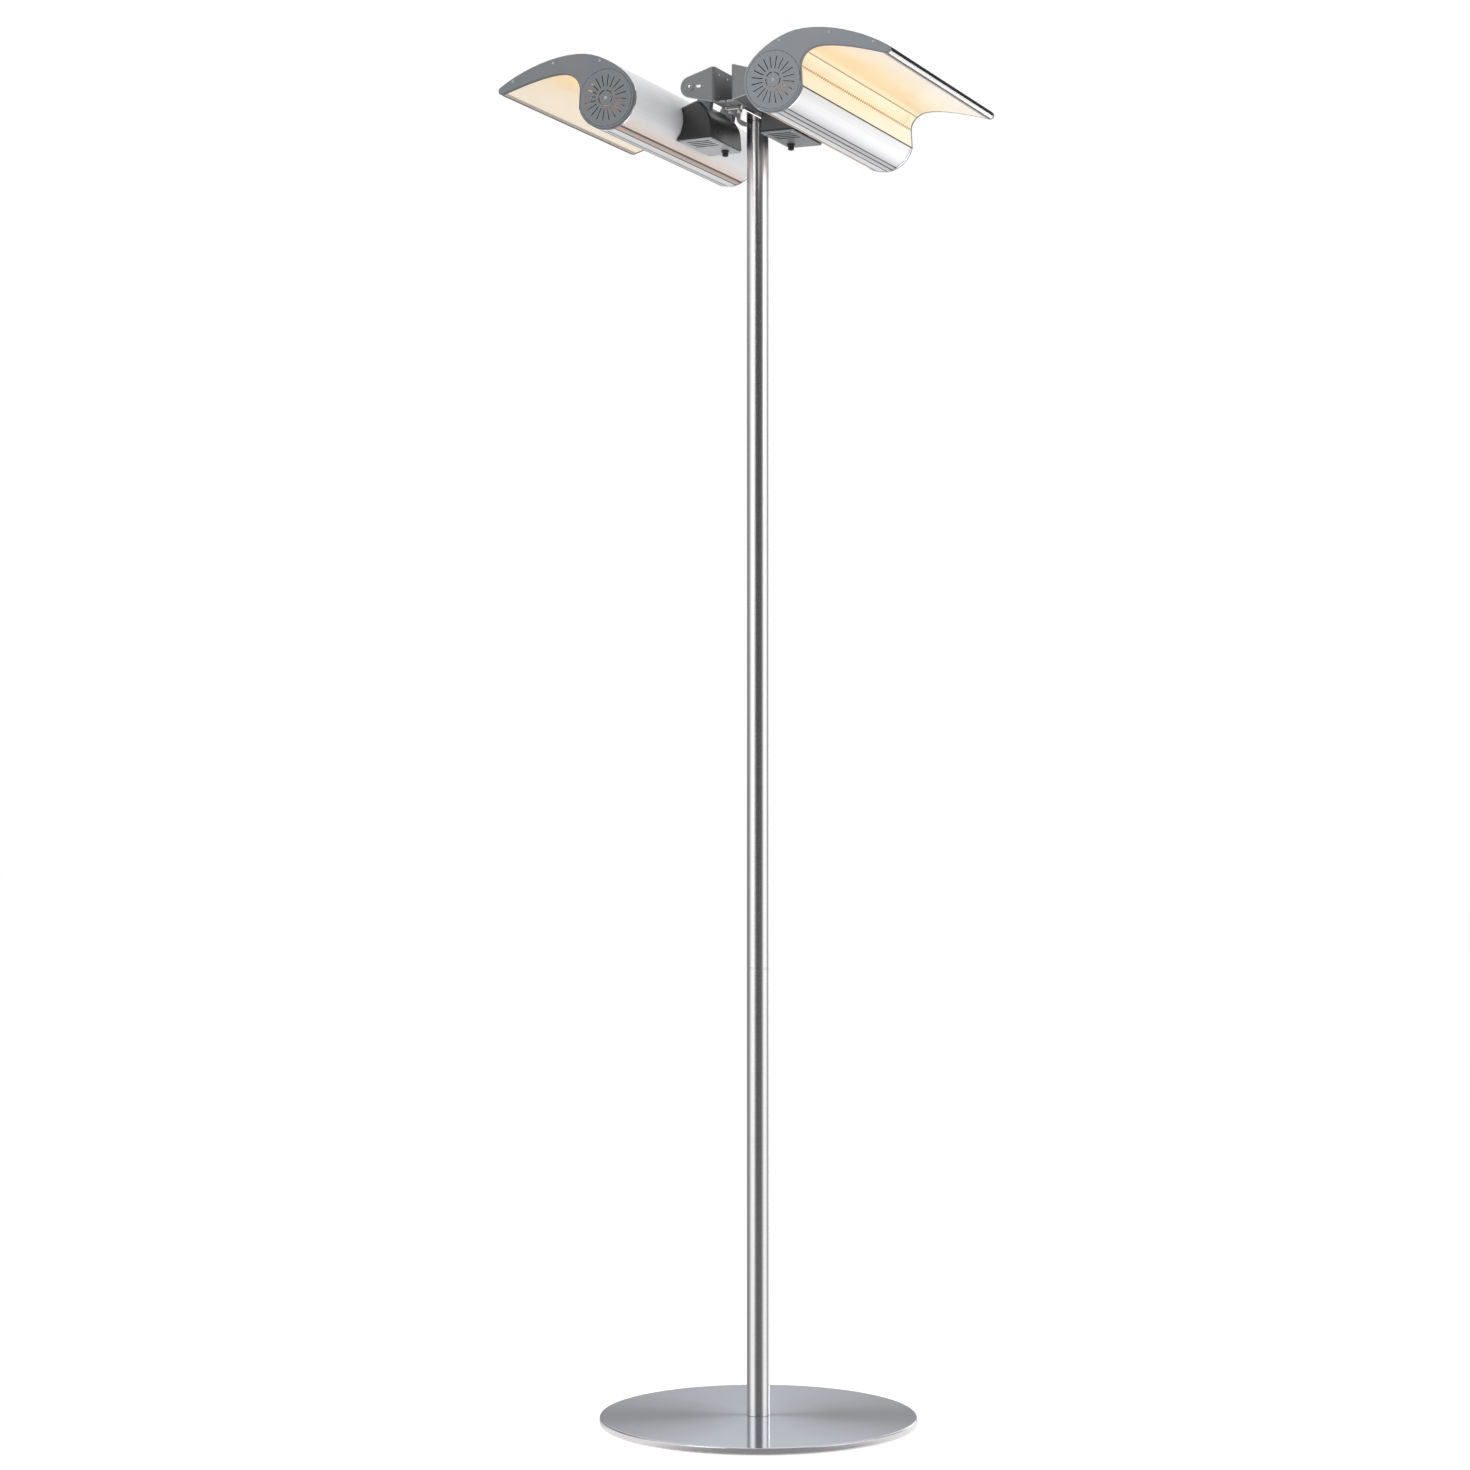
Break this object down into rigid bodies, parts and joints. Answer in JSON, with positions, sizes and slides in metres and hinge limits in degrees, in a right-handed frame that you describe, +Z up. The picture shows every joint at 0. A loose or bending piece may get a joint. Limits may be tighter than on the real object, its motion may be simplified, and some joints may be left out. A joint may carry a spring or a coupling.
{
  "type": "patio infrared heater",
  "caption": "Free-standing patio infrared heater: two tilting tube heads with curved visors and warm linings, back to back on a slim pole over a round flat base.",
  "frame": {"origin": "on the floor, on the pole's axis, under the base pad", "axes": "+Z up along the pole; the heads reach out along X, one each way, and their tubes run along Y"},
  "size_m": [0.6458, 0.513, 2.1167],
  "materials": {
    "rubber_pad": "matt black",
    "brushed_plate": "circular brushed stainless",
    "polished_tube": "polished stainless",
    "zinc": "zinc plated",
    "gray_paint": "satin gray powder coat",
    "extruded_aluminium": "brushed along the extrusion, clear anodised",
    "slate_cap": "satin slate gray",
    "warm_lining": "warm gold anodised reflector",
    "bright_lining": "bright reflector",
    "warm_pane": "clear, lit from behind",
    "amber_quartz": "amber coated, glowing",
    "ceramic": "white ceramic",
    "black_box": "satin black",
    "gray_cover": "light gray",
    "cream_block": "cream"
  },
  "bodies": {
    "stand": {"base_pad": "rubber_pad", "base_plate": "brushed_plate", "base_bolt": "zinc", "pole_foot_plug": "zinc", "pole_lower": "polished_tube", "pole_coupler": "polished_tube", "pole_upper": "polished_tube", "pole_head_plug": "zinc", "cross_bar": "polished_tube", "cross_bar_bolt": "zinc", "bracket_left": "gray_paint", "tilt_shaft_left": "gray_paint", "bracket_bolt_left_front": "zinc", "bracket_bolt_left_rear": "zinc", "bracket_right": "gray_paint", "tilt_shaft_right": "gray_paint", "bracket_bolt_right_front": "zinc", "bracket_bolt_right_rear": "zinc"},
    "head_left": {"housing_left": "extruded_aluminium", "reflector_left": "warm_lining", "window_pane_left": "warm_pane", "inner_reflector_left": "bright_lining", "lamp_left": "amber_quartz", "terminal_box_left": "black_box", "terminal_cover_left": "gray_cover", "cable_gland_left": "black_box", "terminal_block_left": "cream_block", "end_cap_left_front": "slate_cap", "end_cap_left_rear": "slate_cap", "vent_disc_left_front": "slate_cap", "vent_disc_left_rear": "slate_cap", "lamp_holder_left_front": "zinc", "lamp_holder_left_rear": "zinc", "lamp_base_left_front": "ceramic", "lamp_base_left_rear": "ceramic", "tilt_lug_left_front": "gray_paint", "tilt_lug_left_rear": "gray_paint"},
    "head_right": {"housing_right": "extruded_aluminium", "reflector_right": "warm_lining", "window_pane_right": "warm_pane", "inner_reflector_right": "bright_lining", "lamp_right": "amber_quartz", "terminal_box_right": "black_box", "terminal_cover_right": "gray_cover", "cable_gland_right": "black_box", "terminal_block_right": "cream_block", "end_cap_right_front": "slate_cap", "end_cap_right_rear": "slate_cap", "vent_disc_right_front": "slate_cap", "vent_disc_right_rear": "slate_cap", "lamp_holder_right_front": "zinc", "lamp_holder_right_rear": "zinc", "lamp_base_right_front": "ceramic", "lamp_base_right_rear": "ceramic", "tilt_lug_right_front": "gray_paint", "tilt_lug_right_rear": "gray_paint"}
  },
  "joints": [
    {"name": "tilt_left", "type": "hinge", "parent": "stand", "child": "head_left", "pos_m": [-0.055, -0.03, 2.0808], "axis": [0, 1, 0], "range_deg": [-15, 30]},
    {"name": "tilt_right", "type": "hinge", "parent": "stand", "child": "head_right", "pos_m": [0.055, -0.03, 2.0808], "axis": [0, -1, 0], "range_deg": [-15, 30]}
  ]
}
